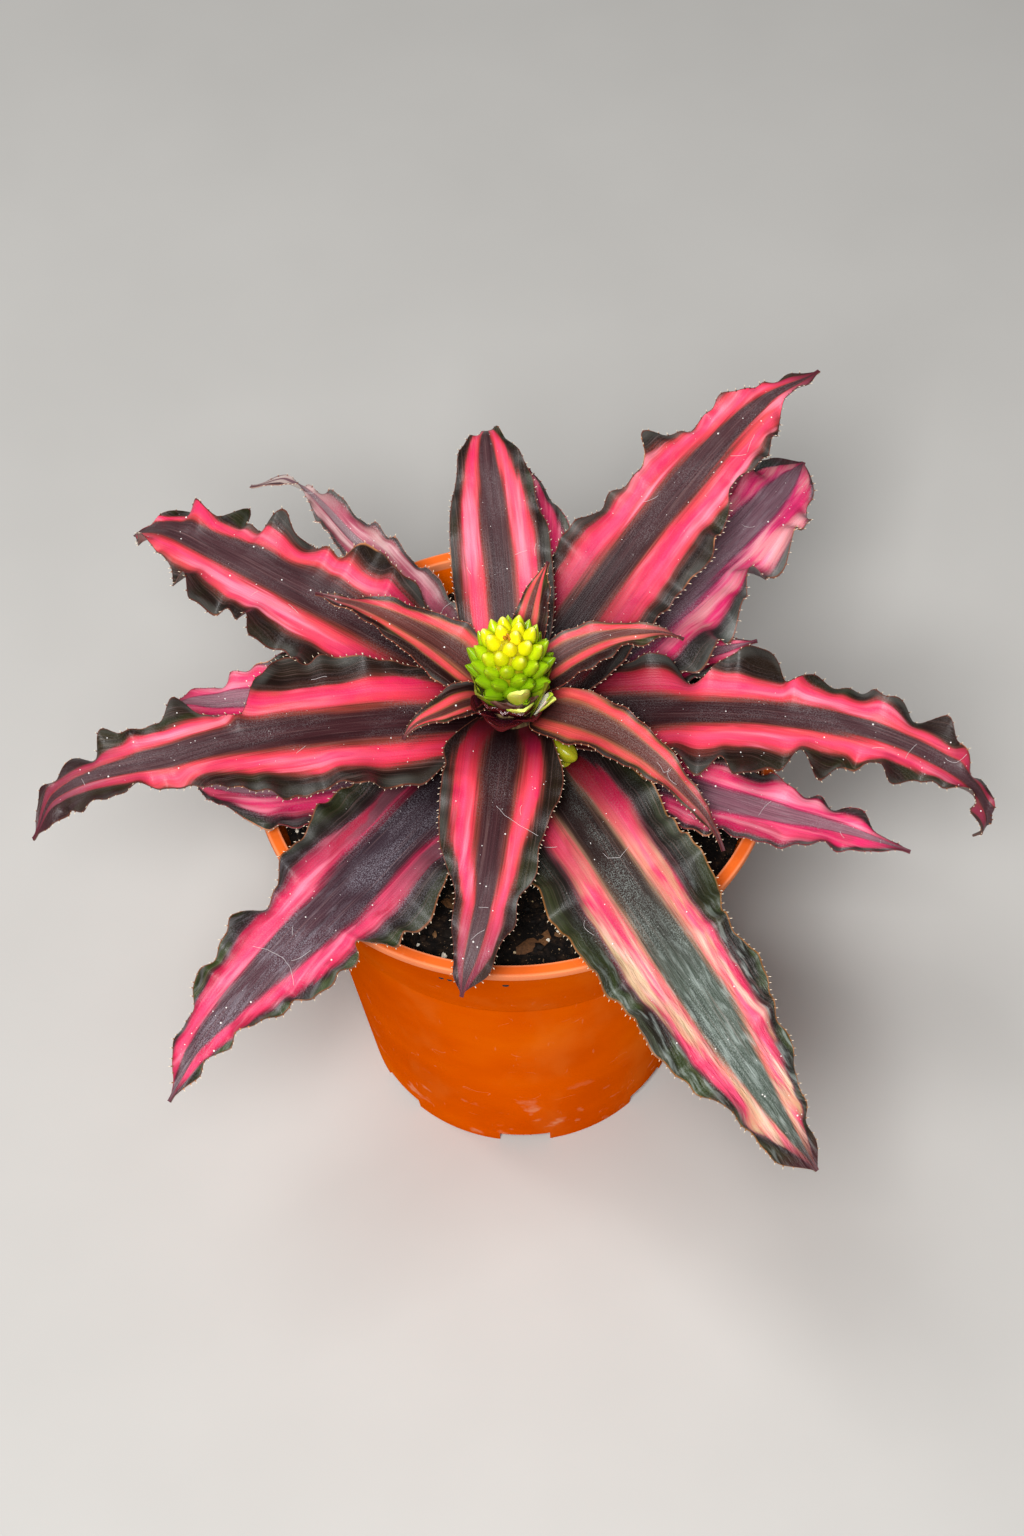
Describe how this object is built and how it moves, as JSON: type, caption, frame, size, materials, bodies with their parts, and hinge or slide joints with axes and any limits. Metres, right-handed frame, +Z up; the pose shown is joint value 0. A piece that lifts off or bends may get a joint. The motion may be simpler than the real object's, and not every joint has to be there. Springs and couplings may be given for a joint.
{
  "type": "earth star bromeliad in a nursery pot",
  "caption": "Earth star bromeliad: a low rosette of wavy, spiny, striped leaves round a tight head of yellow-green buds, in soil in a round tapered plastic pot.",
  "frame": {"origin": "middle of the pot's underside, on the flat centre pad, at the surface that the pot stands on", "axes": "+Z up along the pot's axis and the stem, -Y towards the front of the plant, +X to its right seen from the front"},
  "size_m": [0.216, 0.1862, 0.163],
  "materials": {
    "pot_plastic": "satin moulded polypropylene, terracotta orange",
    "potting_soil": "matt crumbly peat with grit",
    "stem": "matt, fibrous",
    "leaf_blade": "waxy satin, pink stripes on dark maroon with a grey scurf",
    "flower_buds": "glossy, yellow in the middle to lime green outside",
    "flower_petal": "soft satin, cream with a green tip",
    "young_scales": "glossy dark maroon",
    "pup_bud": "glossy olive yellow-green"
  },
  "bodies": {
    "root": {"pot": "pot_plastic", "soil": "potting_soil", "stem": "stem", "leaf_01": "leaf_blade", "leaf_02": "leaf_blade", "leaf_03": "leaf_blade", "leaf_04": "leaf_blade", "leaf_05": "leaf_blade", "leaf_06": "leaf_blade", "leaf_07": "leaf_blade", "leaf_08": "leaf_blade", "leaf_09": "leaf_blade", "leaf_10": "leaf_blade", "leaf_11": "leaf_blade", "leaf_12": "leaf_blade", "leaf_13": "leaf_blade", "leaf_14": "leaf_blade", "leaf_15": "leaf_blade", "leaf_16": "leaf_blade", "leaf_17": "leaf_blade", "leaf_18": "leaf_blade", "leaf_19": "leaf_blade", "leaf_20": "leaf_blade", "flower_head": "flower_buds", "flower_petal": "flower_petal", "young_scales": "young_scales", "pup_bud": "pup_bud"}
  },
  "joints": []
}
